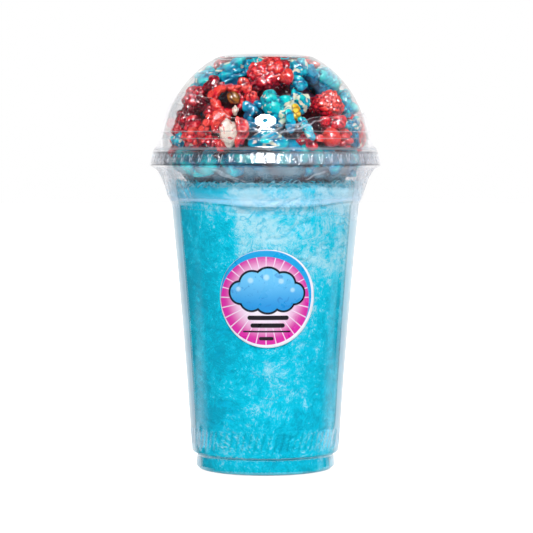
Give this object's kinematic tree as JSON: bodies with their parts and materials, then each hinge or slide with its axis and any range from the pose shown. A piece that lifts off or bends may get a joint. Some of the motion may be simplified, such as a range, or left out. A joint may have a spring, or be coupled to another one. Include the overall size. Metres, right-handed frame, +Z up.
{
  "type": "sealed cup of cotton candy with candied popcorn",
  "caption": "Clear tapered cup of cotton candy, with a dome lid over candied popcorn, a shrink band round the lid joint and a round label.",
  "frame": {"origin": "centre of the cup's foot, on the surface that the pack stands on", "axes": "+Z up along the cup's axis, -Y towards the viewer with the label, +X to the viewer's right"},
  "size_m": [0.1018, 0.1018, 0.1816],
  "materials": {
    "cup_plastic": "clear glossy PET",
    "lid_plastic": "clear glossy PET",
    "film": "clear wrinkled shrink film",
    "label_print": "printed semi-gloss sticker in magenta, white and blue",
    "candy": "matte blue spun sugar, mottled and fibrous",
    "popcorn": "glossy candy coating, mostly red, some kernels blue and some bare cream"
  },
  "bodies": {
    "root": {"cup": "cup_plastic", "dome_lid": "lid_plastic", "shrink_band": "film", "label": "label_print", "cotton_candy": "candy", "popcorn": "popcorn"}
  },
  "joints": []
}
